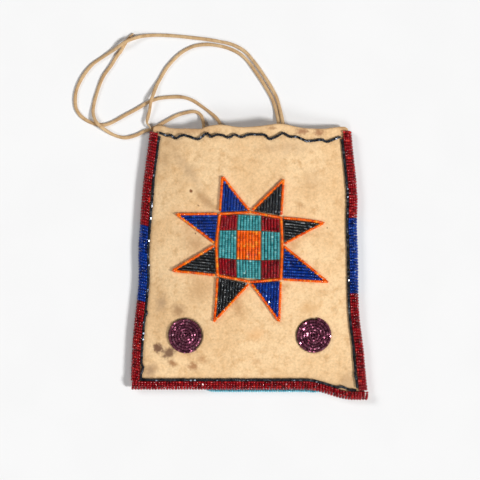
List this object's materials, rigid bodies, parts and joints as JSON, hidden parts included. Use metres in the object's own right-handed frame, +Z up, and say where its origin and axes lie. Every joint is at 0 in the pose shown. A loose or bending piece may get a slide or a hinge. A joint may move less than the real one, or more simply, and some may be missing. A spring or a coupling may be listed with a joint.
{
  "type": "beaded flat bag",
  "caption": "Flat hide bag open at the top, with a beaded star, rosettes and rolled bead edging on its face and a long hide thong at the mouth.",
  "frame": {"origin": "on the surface that the bag lies on, under the middle of the bag without its thong", "axes": "+Z up out of the beaded face, +Y along the bag towards its mouth, +X to the right of the face"},
  "size_m": [0.1943, 0.2438, 0.014],
  "materials": {
    "hide": "smoke-tanned hide, napped and soft",
    "thong_hide": "narrow hide strip, handled and darker at the edges",
    "red": "glossy opaque seed beads",
    "burgundy": "glossy dark red seed beads",
    "cobalt": "glossy dark blue seed beads",
    "turquoise": "satin opaque seed beads",
    "orange": "glossy orange seed beads",
    "black": "glossy black seed beads",
    "gunmetal": "faceted beads with a dark metal lustre",
    "mauve": "faceted beads with a mauve metal lustre",
    "light_blue": "glossy opaque seed beads"
  },
  "bodies": {
    "root": {"front_panel": "hide", "back_panel": "hide", "back_beadwork": "light_blue", "left_edging_upper": "red", "left_edging_middle": "cobalt", "left_edging_lower": "red", "right_edging_upper": "red", "right_edging_middle": "cobalt", "right_edging_lower": "red", "bottom_edging": "red", "top_left_point": "cobalt", "top_right_point": "black", "right_upper_point": "black", "right_lower_point": "cobalt", "bottom_right_point": "cobalt", "bottom_left_point": "black", "left_lower_point": "black", "left_upper_point": "cobalt", "top_left_outline": "orange", "top_right_outline": "orange", "right_upper_outline": "orange", "right_lower_outline": "orange", "bottom_right_outline": "orange", "bottom_left_outline": "orange", "left_lower_outline": "orange", "left_upper_outline": "orange", "square_outline": "orange", "check_bottom_left": "burgundy", "check_bottom_centre": "turquoise", "check_bottom_right": "burgundy", "check_middle_left": "turquoise", "check_middle_centre": "orange", "check_middle_right": "turquoise", "check_top_left": "burgundy", "check_top_centre": "turquoise", "check_top_right": "burgundy", "left_rosette": "mauve", "right_rosette": "mauve", "left_border_line": "gunmetal", "right_border_line": "gunmetal", "top_border_line": "gunmetal", "bottom_border_line": "gunmetal", "thong": "thong_hide"}
  },
  "joints": []
}
